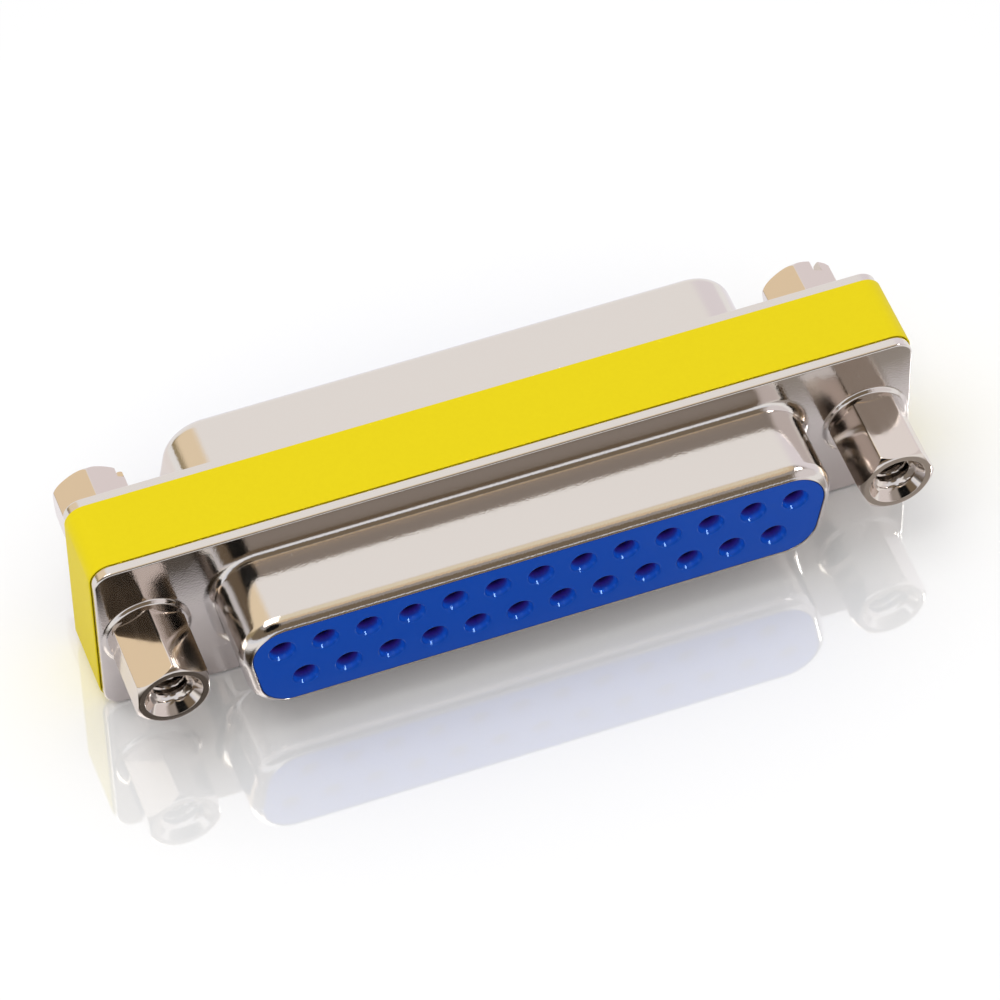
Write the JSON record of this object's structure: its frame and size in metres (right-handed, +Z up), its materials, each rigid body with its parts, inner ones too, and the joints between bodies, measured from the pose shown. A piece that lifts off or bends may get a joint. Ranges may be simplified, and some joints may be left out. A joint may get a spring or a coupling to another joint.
{
  "type": "d-sub gender changer",
  "caption": "Slim adapter with a D-shaped socket connector on both faces, two pressed shells in a yellow sleeve, and threaded hex jacks at both ends.",
  "frame": {"origin": "middle of the sleeve's underside, on the surface that the adapter stands on", "axes": "+X along the connector, to the right seen from the front, the front sockets facing -Y, +Z up"},
  "size_m": [0.0532, 0.0174, 0.0128],
  "materials": {
    "nickel_shell": "bright nickel plate on pressed steel",
    "nickel_jack": "bright nickel plate on turned hexagon bar",
    "blue_plastic": "satin moulded, glass-filled polyester",
    "yellow_film": "matt printed film",
    "contact_metal": "thin gold plate"
  },
  "bodies": {
    "root": {"front_shell": "nickel_shell", "rear_shell": "nickel_shell", "front_insulator": "blue_plastic", "rear_insulator": "blue_plastic", "yellow_sleeve": "yellow_film", "front_jack_nuts": "nickel_jack", "rear_jack_screws": "nickel_jack", "contact_01": "contact_metal", "contact_02": "contact_metal", "contact_03": "contact_metal", "contact_04": "contact_metal", "contact_05": "contact_metal", "contact_06": "contact_metal", "contact_07": "contact_metal", "contact_08": "contact_metal", "contact_09": "contact_metal", "contact_10": "contact_metal", "contact_11": "contact_metal", "contact_12": "contact_metal", "contact_13": "contact_metal", "contact_14": "contact_metal", "contact_15": "contact_metal", "contact_16": "contact_metal", "contact_17": "contact_metal", "contact_18": "contact_metal", "contact_19": "contact_metal", "contact_20": "contact_metal", "contact_21": "contact_metal", "contact_22": "contact_metal", "contact_23": "contact_metal", "contact_24": "contact_metal", "contact_25": "contact_metal"}
  },
  "joints": []
}
